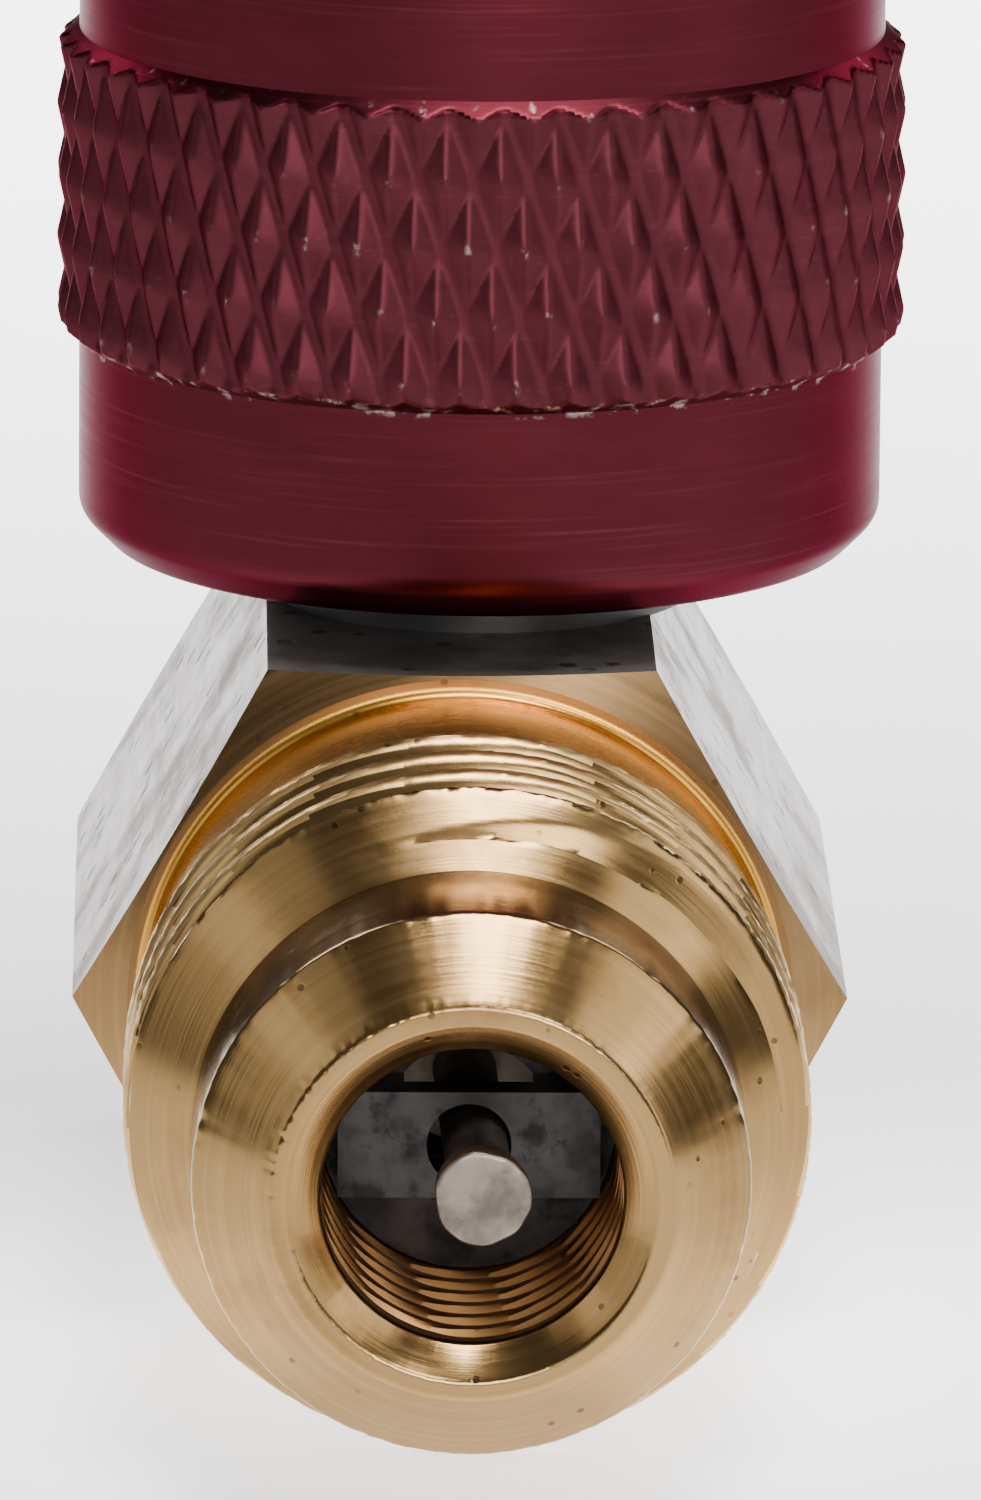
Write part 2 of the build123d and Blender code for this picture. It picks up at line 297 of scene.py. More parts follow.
class Shader:
    """A Principled material with short ways to add texture nodes."""

    def __init__(self, name, colour, metallic, roughness):
        self.material = bpy.data.materials.new(name)
        self.material.use_nodes = True
        self.tree = self.material.node_tree
        self.bsdf = self.tree.nodes["Principled BSDF"]
        self.bsdf.inputs["Base Color"].default_value = (*colour, 1)
        self.bsdf.inputs["Metallic"].default_value = metallic
        self.bsdf.inputs["Roughness"].default_value = roughness
        self.where = self.node("ShaderNodeTexCoord").outputs["Object"]
        self.bump = None

    def node(self, kind, **settings):
        node = self.tree.nodes.new(kind)
        for key, value in settings.items():
            setattr(node, key, value)
        return node

    def link(self, source, target):
        self.tree.links.new(source, target)

    def math(self, operation, first, second=0.0):
        node = self.node("ShaderNodeMath", operation=operation)
        for socket, value in zip(node.inputs, (first, second)):
            if isinstance(value, (int, float)):
                socket.default_value = value
            else:
                self.link(value, socket)
        return node.outputs[0]

    def noise(self, scale, detail=4.0, where=None, roughness=0.55):
        node = self.node("ShaderNodeTexNoise")
        node.inputs["Scale"].default_value = scale
        node.inputs["Detail"].default_value = detail
        node.inputs["Roughness"].default_value = roughness
        self.link(where or self.where, node.inputs["Vector"])
        return node.outputs["Fac"]

    def specks(self, scale, size, where=None):
        """1 inside small round spots and 0 outside them."""
        node = self.node("ShaderNodeTexVoronoi")
        node.inputs["Scale"].default_value = scale
        self.link(where or self.where, node.inputs["Vector"])
        return self.ramp(node.outputs["Distance"], size, size * 0.6)

    def ramp(self, value, start, end):
        """0 at start, 1 at end, smooth between."""
        node = self.node("ShaderNodeMapRange", interpolation_type="SMOOTHSTEP")
        self.link(value, node.inputs["Value"])
        if start < end:
            low, high, first, last = start, end, 0.0, 1.0
        else:
            low, high, first, last = end, start, 1.0, 0.0
        node.inputs["From Min"].default_value = low
        node.inputs["From Max"].default_value = high
        node.inputs["To Min"].default_value = first
        node.inputs["To Max"].default_value = last
        return node.outputs["Result"]

    def span(self, value, low, high):
        """A 0 to 1 value spread between low and high."""
        node = self.node("ShaderNodeMapRange")
        self.link(value, node.inputs["Value"])
        node.inputs["To Min"].default_value = low
        node.inputs["To Max"].default_value = high
        return node.outputs["Result"]

    def mix(self, factor, first, second):
        node = self.node("ShaderNodeMix", data_type="RGBA")
        self.link(factor, node.inputs["Factor"])
        for socket, value in ((node.inputs[MIX_FIRST], first), (node.inputs[MIX_SECOND], second)):
            if isinstance(value, tuple):
                socket.default_value = (*value, 1)
            else:
                self.link(value, socket)
        return node.outputs[MIX_RESULT]

    def colour(self, value):
        self.link(value, self.bsdf.inputs["Base Color"])

    def roughness(self, value):
        self.link(value, self.bsdf.inputs["Roughness"])

    def add_bump(self, height, strength, distance):
        node = self.node("ShaderNodeBump")
        node.inputs["Strength"].default_value = strength
        node.inputs["Distance"].default_value = distance * MM
        self.link(height, node.inputs["Height"])
        if self.bump:
            self.link(self.bump, node.inputs["Normal"])
        self.bump = node.outputs["Normal"]
        self.link(self.bump, self.bsdf.inputs["Normal"])

    def attribute(self, name):
        return self.node("ShaderNodeAttribute", attribute_name=name).outputs["Fac"]

    def turning_lines(self, axis, centre, fine, drift=0.02):
        """Texture place that is nearly the same all the way round an axis, for marks left by turning."""
        split = self.node("ShaderNodeSeparateXYZ")
        self.link(self.where, split.inputs[0])
        across = [i for i in range(3) if i != axis]
        first = self.math("SUBTRACT", split.outputs[across[0]], centre[across[0]] * MM)
        second = self.math("SUBTRACT", split.outputs[across[1]], centre[across[1]] * MM)
        squares = self.math("ADD", self.math("MULTIPLY", first, first), self.math("MULTIPLY", second, second))
        radius = self.math("SQRT", squares)
        join = self.node("ShaderNodeCombineXYZ")
        self.link(self.math("MULTIPLY", split.outputs[axis], fine), join.inputs[0])
        self.link(self.math("MULTIPLY", radius, fine), join.inputs[1])
        self.link(self.math("MULTIPLY", first, fine * drift), join.inputs[2])
        return join.outputs[0]


FLARE_CENTRE = (FLARE_X, 0, FLARE_Z)


def turned_brass(name="turned_brass", colour=(0.310, 0.186, 0.070), dark=(0.17, 0.085, 0.028),
                 light=(0.52, 0.35, 0.16), axis=1, centre=FLARE_CENTRE, roughness=(0.13, 0.26)):
    """Polished, turned brass: fine rings, faint tarnish, pits and brown specks."""
    s = Shader(name, colour, 1.0, roughness[0])
    rings = s.turning_lines(axis, centre, 16000)
    coarse_rings = s.turning_lines(axis, centre, 6500)
    tarnish = s.ramp(s.noise(420, 6), 0.50, 0.74)
    pits = s.specks(2100, 0.16)
    spots = s.math("MULTIPLY", pits, s.ramp(s.noise(600, 3), 0.50, 0.60))
    tone = s.mix(s.math("MULTIPLY", tarnish, 0.45), colour, dark)
    tone = s.mix(s.math("MULTIPLY", s.ramp(s.noise(1.0, 3, coarse_rings), 0.40, 0.75), 0.26), tone, light)
    s.colour(s.mix(s.math("MULTIPLY", spots, 0.8), tone, (0.10, 0.045, 0.02)))
    ring_roughness = s.span(s.noise(1.0, 4, coarse_rings), *roughness)
    s.roughness(s.math("ADD", ring_roughness, s.math("MULTIPLY", tarnish, 0.12)))
    s.add_bump(s.noise(1.0, 2, rings), 0.30, 0.006)
    s.add_bump(s.noise(1500, 4), 0.14, 0.01)
    s.add_bump(s.math("MULTIPLY", spots, -1.0), 0.15, 0.02)
    return s.material


def drawn_brass():
    """The bar's own drawn flats: dull, greyed, stained brown, with pits and long scratches."""
    s = Shader("drawn_brass", (0.40, 0.34, 0.30), 0.85, 0.4)
    stains = s.ramp(s.noise(300, 8, roughness=0.68), 0.46, 0.66)
    fog = s.ramp(s.noise(420, 8, roughness=0.7), 0.38, 0.62)
    pits = s.math("MULTIPLY", s.specks(1500, 0.28), s.ramp(s.noise(500, 3), 0.46, 0.56))
    stretched = s.node("ShaderNodeMapping")
    stretched.inputs["Scale"].default_value = (1.0, 0.06, 1.0)
    s.link(s.where, stretched.inputs["Vector"])
    scratches = s.noise(5200, 3, stretched.outputs[0])
    tone = s.mix(fog, (0.355, 0.308, 0.282), (0.215, 0.176, 0.150))
    tone = s.mix(s.math("MULTIPLY", stains, 0.45), tone, (0.17, 0.10, 0.065))
    s.colour(s.mix(s.math("MULTIPLY", pits, 0.85), tone, (0.05, 0.035, 0.03)))
    wear = s.math("ADD", s.math("MULTIPLY", stains, 0.5), s.math("MULTIPLY", scratches, 0.5))
    s.roughness(s.span(wear, 0.24, 0.50))
    s.add_bump(scratches, 0.08, 0.01)
    s.add_bump(s.noise(1200, 6), 0.22, 0.02)
    s.add_bump(s.math("MULTIPLY", pits, -1.0), 0.7, 0.03)
    return s.material


def anodised(name, red, deep, roughness, ring_bump, grain_bump):
    """Dark red anodised aluminium with fine rings; bare metal shows where the attribute says it is worn."""
    s = Shader(name, red, 1.0, 0.36)
    # The film keeps the metal's edges from turning white
    s.bsdf.inputs["Specular Tint"].default_value = (0.62, 0.46, 0.49, 1)
    rings = s.turning_lines(2, (0, 0, 0), 12000)
    broad = s.turning_lines(2, (0, 0, 0), 1500, 0.3)
    tone = s.mix(s.noise(1.0, 4, broad), red, deep)
    bright_rings = s.math("MULTIPLY", s.ramp(s.noise(1.0, 3, rings), 0.52, 0.80), 0.22)
    tone = s.mix(bright_rings, tone, (0.17, 0.045, 0.058))
    worn = s.math("MULTIPLY", s.attribute("wear"), s.ramp(s.noise(3600, 5), 0.54, 0.66))
    s.colour(s.mix(worn, tone, (0.36, 0.28, 0.27)))
    s.roughness(s.math("ADD", s.span(s.noise(1.0, 4, rings), *roughness), s.math("MULTIPLY", worn, 0.10)))
    s.add_bump(s.noise(1.0, 4, rings), ring_bump, 0.005)
    s.add_bump(s.noise(2400, 5), grain_bump, 0.015)
    return s.material


def steel(name, colour, roughness, staining):
    """Worn steel: blotches, a grain, and dark stains as strong as the staining says."""
    s = Shader(name, colour, 1.0, roughness)
    light = tuple(min(1.0, c * 1.6) for c in colour)
    dark = tuple(c * 0.35 for c in colour)
    blotches = s.noise(1400, 6)
    tone = s.mix(s.ramp(blotches, 0.40, 0.62), light, colour)
    rust = s.ramp(s.noise(1100, 6, roughness=0.65), 0.50, 0.64)
    s.colour(s.mix(s.math("MULTIPLY", rust, staining), tone, dark))
    s.roughness(s.span(blotches, roughness - 0.08, roughness + 0.18))
    s.add_bump(s.noise(2600, 5), 0.5, 0.015)
    return s.material


def matt_black(name, grain_scale, roughness):
    """Rubber or moulded plastic: near black, with a fine grain."""
    s = Shader(name, (0.022, 0.022, 0.023), 0.0, roughness)
    grain = s.noise(grain_scale, 5)
    s.colour(s.mix(grain, (0.016, 0.016, 0.017), (0.045, 0.044, 0.043)))
    s.roughness(s.span(grain, roughness - 0.12, roughness + 0.12))
    s.add_bump(grain, 0.25, 0.01)
    return s.material


def white_plastic():
    """White seal plastic, slightly mottled."""
    s = Shader("white_seal_plastic", (0.80, 0.79, 0.75), 0.0, 0.45)
    grain = s.noise(1800, 4)
    s.colour(s.mix(grain, (0.86, 0.85, 0.81), (0.70, 0.68, 0.62)))
    s.roughness(s.span(grain, 0.35, 0.55))
    s.add_bump(grain, 0.15, 0.01)
    return s.material


FRESH_BRASS = turned_brass()
BAR_BRASS = drawn_brass()
# Painted highlight: a lighter copy of the turned brass for the thread's crests, standing in for the bright
# light on them.
LIT_CREST_BRASS = turned_brass("crest_brass_painted_highlight", (0.57, 0.36, 0.135), (0.25, 0.13, 0.045), (0.74, 0.52, 0.24),
                           roughness=(0.26, 0.42))
# Painted reflection: a brighter, more orange copy of the turned brass for the relief behind the thread,
# standing in for the hexagon's face reflected in it.
LIT_RELIEF_BRASS = turned_brass("relief_brass_painted_reflection", (0.60, 0.29, 0.045), (0.34, 0.14, 0.025), (0.72, 0.40, 0.09),
                            roughness=(0.20, 0.32))
# Painted shade: a darker copy of the turned brass for the hexagon's front face.
SHADED_FACE_BRASS = turned_brass("face_brass_painted_shade", (0.225, 0.132, 0.055), (0.12, 0.062, 0.024), (0.36, 0.235, 0.115),
                          roughness=(0.20, 0.36))
INNER_BRASS = turned_brass("inner_brass", axis=2, centre=(0, 0, 0), roughness=(0.22, 0.36))
# Painted shade: a separate copy of the turned brass for the bore and the core parts in it, its tone set for
# the shade inside the bore.
SHADED_BORE_BRASS = turned_brass("bore_brass_painted_shade", (0.42, 0.205, 0.072), (0.17, 0.07, 0.022), (0.50, 0.28, 0.11),
                          roughness=(0.30, 0.46))
RED = anodised("anodised_red", red=(0.077, 0.0118, 0.018), deep=(0.050, 0.008, 0.0118),
               roughness=(0.27, 0.42), ring_bump=0.25, grain_bump=0.08)
RED_KNURL = anodised("anodised_red_knurl", red=(0.092, 0.0195, 0.027), deep=(0.053, 0.012, 0.016),
                     roughness=(0.38, 0.52), ring_bump=0.10, grain_bump=0.40)
DARK_STEEL = steel("dark_core_steel", (0.032, 0.030, 0.029), 0.34, 0.7)
BRIGHT_STEEL = steel("worn_pin_steel", (0.145, 0.122, 0.100), 0.34, 0.35)
SPRING_STEEL = steel("spring_wire_steel", (0.34, 0.34, 0.35), 0.28, 0.6)
RUBBER = matt_black("black_rubber", 3000, 0.56)
# Painted shade: the spacer under the sleeve is made black so that it shows as the dark shade in the gap
# between the sleeve and the hexagon.
SHADE_BLACK_PLASTIC = matt_black("black_plastic", 1500, 0.42)
WHITE_SEAL = white_plastic()


# ---------------------------------------------------------------- elbow body
BODY_SIDES = 360
DRILL_SIDES = 96
ELBOW_SHARP = 25
BODY_ANGLE = around(BODY_SIDES)


def body_noise(waves, seed):
    """A wandering value for each of the body's columns."""
    return smooth_noise(BODY_SIDES, waves, seed)


def outlet_thread(along, angle):
    """Radius of the right-hand outside thread: a narrow crest that rounds off into straight flanks."""
    away = np.maximum(0, from_helix(along, angle, THREAD_FRONT, PITCH) - CREST_FLAT)
    rounding_width = FLANK_SLOPE / (2 * CREST_CURVE)
    rounding = CREST_CURVE * np.minimum(away, rounding_width) ** 2
    flank = THREAD_R - rounding - np.maximum(0, away - rounding_width) * FLANK_SLOPE
    return np.maximum(flank, THREAD_ROOT)


def bore_thread(along, angle):
    """Radius of the right-hand inside thread of the valve core's bore, fading out at both ends."""
    from_root = from_helix(along, angle, BORE_INNER, BORE_PITCH)
    cut = np.maximum(0, BORE_THREAD_DEPTH - np.maximum(0, from_root - BORE_ROOT_FLAT) * BORE_FLANK_SLOPE)
    fade = np.clip(min(BORE_INNER - along, along - BORE_OUTER) / BORE_THREAD_FADE, 0, 1)
    return BORE_R + cut * fade


def bore_rows():
    """From the blind end of the gas passage out to the front of the core's thread."""
    rows = [(FLOW_END, CENTRE_R), (FLOW_END, FLOW_R), (CHAMBER_FRONT, FLOW_R), (BORE_INNER + 0.2, BORE_R)]
    for along in even_steps(BORE_INNER + 0.25, BORE_OUTER, BORE_PITCH / 12):
        rows.append((along, bore_thread(along, BODY_ANGLE)))
    return rows


def mouth_rows():
    """The mouth's chamfer and its battered edge. The burrs are larger on the left."""
    burr = BURR * body_noise((43, 61, 83, 107, 139, 163), 3) * (0.55 - 0.45 * np.sin(BODY_ANGLE))
    nick = np.minimum(0, NICK * body_noise((23, 37, 59, 97, 131), 5) + NICK_LIMIT)
    outline = rounded(
        [(NOSE_FRONT + MOUTH_DEPTH + 0.12, BORE_R), (NOSE_FRONT + MOUTH_DEPTH, BORE_R), (MOUTH_FACE, MOUTH_R),
         (MOUTH_FACE, SEAT_R), (NOSE_FRONT + SEAT_EDGE, SEAT_R + 0.15)],
        EDGE_ROUNDING,
    )
    rows = []
    for along, radius in outline[:-1]:
        damage = 1.0 if radius > MOUTH_R else CHAMFER_SHARE
        rows.append((along - damage * np.minimum(0, burr) * 0.8, radius + damage * (burr * 0.6 + nick)))
    return rows


def seat_rows():
    """The 45 degree seat cone, its worn edge and the plain nose behind it."""
    worn = np.abs(SEAT_WEAR * body_noise((19, 31, 53, 71, 101), 9))
    cone = [(CONE_BACK - 0.14, NOSE_R - 0.14), (CONE_BACK, NOSE_R), (CONE_BACK + 0.16, NOSE_R)]
    rows = [(NOSE_FRONT + SEAT_EDGE, SEAT_R + 0.15), (NOSE_FRONT + SEAT_EDGE + 0.05, SEAT_R + 0.20), cone[0]]
    rows += [(along, radius - worn) for along, radius in rounded(cone, EDGE_ROUNDING)[1:-1]]
    return rows + [cone[2], (NOSE_BACK - 0.05, NOSE_R)]


def thread_rows():
    """The outside thread between its two cones, with ragged crests."""
    rows = []
    for along in even_steps(NOSE_BACK, THREAD_END, PITCH / 22):
        front_cone = NOSE_R + (along - NOSE_BACK)
        rear_cone = THREAD_R - (along - REAR_CONE_START) * REAR_CONE_SLOPE
        radius = np.minimum(outlet_thread(along, BODY_ANGLE), min(front_cone, rear_cone))
        on_crest = np.clip((radius - THREAD_R + CREST_BAND) / CREST_BAND, 0, 1)
        # The seed comes from the row's place, so the ragged edge changes along the thread
        ragged = np.abs(CREST_WEAR * body_noise((23, 41, 67, 89, 113), int(1000 + along * 40)))
        floor = RELIEF_R if along > THREAD_REAR else 0
        rows.append((along, np.maximum(radius, floor) - on_crest * ragged))
    return rows


def relief_rows():
    """The relief behind the thread and the fillet that takes it up to the hexagon's front face."""
    fillet_start = HEX_FRONT - RELIEF_FILLET
    rows = [(fillet_start - 0.4, RELIEF_R)]
    for swing in np.linspace(0, 1, 9) * math.pi / 2:
        along = fillet_start + RELIEF_FILLET * math.sin(swing)
        rows.append((along, RELIEF_EDGE_R - (RELIEF_EDGE_R - RELIEF_R) * math.cos(swing)))
    return rows


def hexagon_rows():
    """The bar, with the round chamfer of a turned hexagon at both ends."""
    from_flat = (BODY_ANGLE + math.pi / 6) % (math.pi / 3) - math.pi / 6
    flat = HEX_FLAT / np.cos(from_flat)
    chamfer = (flat - HEX_FACE_R) / 2
    rows = [(HEX_FRONT, RELIEF_EDGE_R + 0.03), (HEX_FRONT, HEX_FACE_R), (HEX_FRONT + chamfer, flat)]
    rows += [(along, flat) for along in even_steps(HEX_FRONT + 0.6, HEX_REAR - 0.6, 1.2)]
    return rows + [(HEX_REAR - chamfer, flat), (HEX_REAR, HEX_FACE_R), (HEX_REAR, 3.0), (HEX_REAR, CENTRE_R)]


def elbow_stations():
    """Rows from the blind end of the bore, out over the mouth, the seat and the thread, to the rear face."""
    return bore_rows() + mouth_rows() + seat_rows() + thread_rows() + relief_rows() + hexagon_rows()


def cut_stem_bore(mesh):
    """Takes the stem's bore and the passage below it out of the body."""
    body = bpy.data.objects.new("elbow_before_boring", mesh)
    above = HEX_FLAT * 2 + 1
    outline = [(PASSAGE_FLOOR, CENTRE_R), (PASSAGE_FLOOR, PASSAGE_R), (STEM_BORE_FLOOR, PASSAGE_R),
               (STEM_BORE_FLOOR, STEM_BORE_R), (above, STEM_BORE_R), (above, CENTRE_R)]
    drill_mesh = turned_mesh("stem_drill", outline, DRILL_SIDES, place_on_sleeve)
    drill = bpy.data.objects.new("stem_drill", drill_mesh)
    for item in (body, drill):
        bpy.context.scene.collection.objects.link(item)
    boolean = body.modifiers.new("bore", "BOOLEAN")
    boolean.operation = "DIFFERENCE"
    boolean.solver = "EXACT"
    boolean.object = drill
    bpy.context.view_layer.update()
    bored = bpy.data.meshes.new_from_object(body.evaluated_get(bpy.context.evaluated_depsgraph_get()))
    bpy.data.objects.remove(body)
    bpy.data.objects.remove(drill)
    return bored


def face_values(mesh, name):
    """A vector of every face of a mesh, such as its center or its normal."""
    values = np.zeros(len(mesh.polygons) * 3)
    mesh.polygons.foreach_get(name, values)
    return values.reshape(-1, 3)


BODY_FINISHES = (FRESH_BRASS, BAR_BRASS, SHADED_BORE_BRASS, LIT_CREST_BRASS, LIT_RELIEF_BRASS, SHADED_FACE_BRASS)


def paint_body(mesh):
    """Gives the faces their finishes by place, among them lighter and darker copies of the turned brass that
    paint light and shade; turned brass stays on what isn't named here.
    """
    x, y, z = (face_values(mesh, "center") / MM).T
    facing = face_values(mesh, "normal")[:, 1]
    across = np.hypot(x - FLARE_X, z - FLARE_Z)
    places = (
        (BAR_BRASS, (y > HEX_FRONT + 0.02) & (across > RELIEF_EDGE_R) & (np.abs(facing) < 0.2)),
        # The bore gets the brass copy toned for its shade: painted shade.
        (SHADED_BORE_BRASS, (y < HEX_FRONT) & (across < BORE_R + 0.32) & (y > NOSE_FRONT + 0.6)),
        # The crests get the lighter copy of the brass: painted highlight.
        (LIT_CREST_BRASS, (y > THREAD_FRONT + 0.05) & (y < THREAD_REAR + 0.5) & (across > THREAD_R - 0.09)),
        # The relief gets the brighter, more orange copy of the brass: painted reflection.
        (LIT_RELIEF_BRASS, (y > THREAD_REAR + 0.3) & (y < HEX_FRONT) & (across < RELIEF_EDGE_R + 0.02)),
        # The hexagon's front face gets the darker copy of the brass: painted shade.
        (SHADED_FACE_BRASS, (y > HEX_FRONT - 0.02) & (across > RELIEF_EDGE_R) & (facing < -0.2)),
    )
    index = np.zeros(len(mesh.polygons), np.int32)
    for finish, inside in places:
        index[inside] = BODY_FINISHES.index(finish)
    mesh.polygons.foreach_set("material_index", index)


elbow_mesh = turned_mesh("elbow_body_detailed", elbow_stations(), BODY_SIDES, place_on_flare)
elbow_mesh = cut_stem_bore(elbow_mesh)
smooth_shading(elbow_mesh, ELBOW_SHARP)
elbow_mesh.materials.clear()
add_piece("elbow_body_detailed", elbow_mesh, BODY_FINISHES, "body", ["elbow_body"])
paint_body(elbow_mesh)


# ---------------------------------------------------------------- sleeve
SLEEVE_SIDES = KNURL_STARTS * 18


def knurl_height(along, angle):
    """0 in the grooves and 1 on the points of the diamonds; the left-leaning grooves are the wider ones."""
    start = angle / (2 * np.pi) * KNURL_STARTS
    wide = 2 * np.abs(phase_within(start + along * KNURL_LEAN_LEFT))
    narrow = 2 * np.abs(phase_within(start - along * KNURL_LEAN_RIGHT))
    wide = np.maximum(wide - KNURL_FLOOR, 0) / (1 - KNURL_FLOOR)
    narrow = KNURL_STEP + narrow * (1 - KNURL_STEP)
    # A soft minimum rounds the ridges between the facets
    return -np.log(np.exp(-KNURL_SOFTNESS * wide) + np.exp(-KNURL_SOFTNESS * narrow)) / KNURL_SOFTNESS


def sleeve_stations():
    """Rows round the sleeve's outline, up the outside and back down the inside, with each row's wear."""
    angle = around(SLEEVE_SIDES)
    low, high = KNURL_BAND
    lower = rounded(
        [(SLEEVE_BOTTOM, SKIRT_R + 0.1), (SLEEVE_BOTTOM, SLEEVE_R - SLEEVE_CHAMFER),
         (SLEEVE_BOTTOM + SLEEVE_CHAMFER, SLEEVE_R), (low - 0.1, SLEEVE_R)],
        0.22, 7,
    )
    rows = [(along, radius, 0.0) for along, radius in lower]
    base = KNURL_R - KNURL_DEPTH
    for along in even_steps(low, high, KNURL_ROW_STEP):
        peak = knurl_height(along, angle)
        crest = base + KNURL_DEPTH * np.clip(peak * KNURL_GAIN, 0, KNURL_BLUNTING) / KNURL_BLUNTING
        edge = min(along - low, high - along)
        limit = SLEEVE_R + (KNURL_R - SLEEVE_R) * min(1.0, edge / KNURL_CHAMFER)
        # The points are worn bare, and so is the band's lower edge
        points_wear = np.clip((peak - POINT_WEAR_START) / POINT_WEAR_SPAN, 0, POINT_WEAR_MOST)
        edge_wear = EDGE_WEAR if along - low < EDGE_WEAR_WIDTH else 0.0
        rows.append((along, np.minimum(crest, limit), np.minimum(points_wear + edge_wear, 1)))
    upper = rounded(
        [(high + 0.02, SLEEVE_R), (SLEEVE_TOP - RIM_CHAMFER, SLEEVE_R), (SLEEVE_TOP, SLEEVE_R - RIM_CHAMFER),
         (SLEEVE_TOP, INSERT_R + 0.15), (SLEEVE_TOP - 0.15, INSERT_R), (INSERT_BOTTOM, INSERT_R),
         (INSERT_BOTTOM, FLANGE_ROOM_R), (WEB[1], FLANGE_ROOM_R), (WEB[1], WEB_R), (WEB[0], WEB_R),
         (WEB[0], SKIRT_R), (SLEEVE_BOTTOM + 0.1, SKIRT_R)],
        0.05, 4,
    )
    rows += [(along, radius, 0.0) for along, radius in upper]
    return rows


def paint_knurl(mesh):
    """The knurled band gets the second finish."""
    x, y, z = (face_values(mesh, "center") / MM).T
    in_band = (z > KNURL_BAND[0]) & (z < KNURL_BAND[1] - 0.25)
    outside = np.hypot(x, y) > SLEEVE_R - 0.1
    mesh.polygons.foreach_set("material_index", (in_band & outside).astype(np.int32))


sleeve_rows = sleeve_stations()
sleeve_mesh = turned_mesh("knurled_sleeve_detailed", [row[:2] for row in sleeve_rows], SLEEVE_SIDES,
                          place_on_sleeve, ring=True)
add_attribute(sleeve_mesh, "wear", np.concatenate([row[2] + np.zeros(SLEEVE_SIDES) for row in sleeve_rows]))
add_piece("knurled_sleeve_detailed", sleeve_mesh, (RED, RED_KNURL), "sleeve", ["knurled_sleeve"])
paint_knurl(sleeve_mesh)


# ---------------------------------------------------------------- threaded insert
INSERT_SIDES = 192


def insert_stations():
    """The insert's outline, with its right-hand inside thread."""
    angle = around(INSERT_SIDES)
    outer = INSERT_R - INSERT_GAP
    rows = rounded(
        [(INSERT_BOTTOM, INSERT_MINOR_R + 0.5), (INSERT_BOTTOM, outer), (INSERT_TOP, outer),
         (INSERT_TOP, INSERT_MAJOR_R + 0.1)],
        0.05,
    )
    for along in even_steps(INSERT_TOP, INSERT_BOTTOM, PITCH / 16):
        from_root = from_helix(along, angle, INSERT_BOTTOM, PITCH)
        groove = INSERT_MAJOR_R - np.maximum(0, from_root - INSERT_ROOT_FLAT) * math.tan(INSERT_FLANK)
        from_end = min(INSERT_TOP - along, along - INSERT_BOTTOM)
        lead_in = INSERT_MINOR_R + max(0.0, INSERT_LEAD_IN - from_end)
        rows.append((along, np.maximum(np.maximum(groove, INSERT_MINOR_R), lead_in)))
    return rows


insert_mesh = turned_mesh("threaded_insert_detailed", insert_stations(), INSERT_SIDES,
                          place_on_sleeve, ring=True)
add_piece("threaded_insert_detailed", insert_mesh, (INNER_BRASS,), "sleeve", ["threaded_insert"])


# ---------------------------------------------------------------- valve core pin
PIN_FRONT, PIN_BACK = node_span("core_pin", 1)
PIN_R = 0.52
PIN_HEAD_R = 0.81
PIN_HEAD_LENGTH = 0.6
PIN_COLLAR_R = 1.2
PIN_COLLAR = (-11.1, -10.7)
PIN_LEAN = 0.17
PIN_SWELL = 0.03
PIN_DENT = 0.02
PIN_SIDES = 96


def pin_stations():
    """The pin's hammered head, its shaft, spring collar and end."""
    swell = PIN_SWELL * smooth_noise(PIN_SIDES, (2, 3, 5, 7, 11), 21)
    dent = PIN_DENT * smooth_noise(PIN_SIDES, (3, 4, 6, 9), 22)
    rows = [(PIN_FRONT + 0.05, 0.01), (PIN_FRONT + 0.035, 0.25), (PIN_FRONT + 0.02 + np.abs(dent) * 0.4, 0.5)]
    head = rounded(
        [(PIN_FRONT + 0.02, 0.6), (PIN_FRONT + 0.03, PIN_HEAD_R - 0.03), (PIN_FRONT + 0.5, PIN_HEAD_R - 0.05),
         (PIN_FRONT + 1.3, PIN_R), (PIN_COLLAR[0], PIN_R)],
        0.14,
    )
    for along, radius in head:
        hammered = 1.0 if along < PIN_FRONT + PIN_HEAD_LENGTH else 0.0
        rows.append((along + hammered * np.abs(dent) * 0.5, radius + hammered * np.minimum(swell, 0.01)))
    front, back = PIN_COLLAR
    rows += [(front, PIN_COLLAR_R), (back, PIN_COLLAR_R), (back, PIN_R), (PIN_BACK - 0.1, PIN_R),
             (PIN_BACK, PIN_R - 0.1), (PIN_BACK, 0.01)]
    return rows


def place_on_bent_pin(along, radius, angle):
    """The pin leans a little to +X from its collar to its face."""
    x, y, z = place_on_flare(along, radius, angle)
    lean = np.clip((PIN_COLLAR[0] - along) / (PIN_COLLAR[0] - PIN_FRONT), 0, 1)
    return x + PIN_LEAN * lean, y, z


pin_mesh = turned_mesh("core_pin_detailed", pin_stations(), PIN_SIDES, place_on_bent_pin)
add_piece("core_pin_detailed", pin_mesh, (BRIGHT_STEEL,), "core_valve", ["core_pin"])


# ---------------------------------------------------------------- springs
WIRE_SIDES = 14
STEPS_PER_TURN = 40
END_TURN_PITCH = 2.1


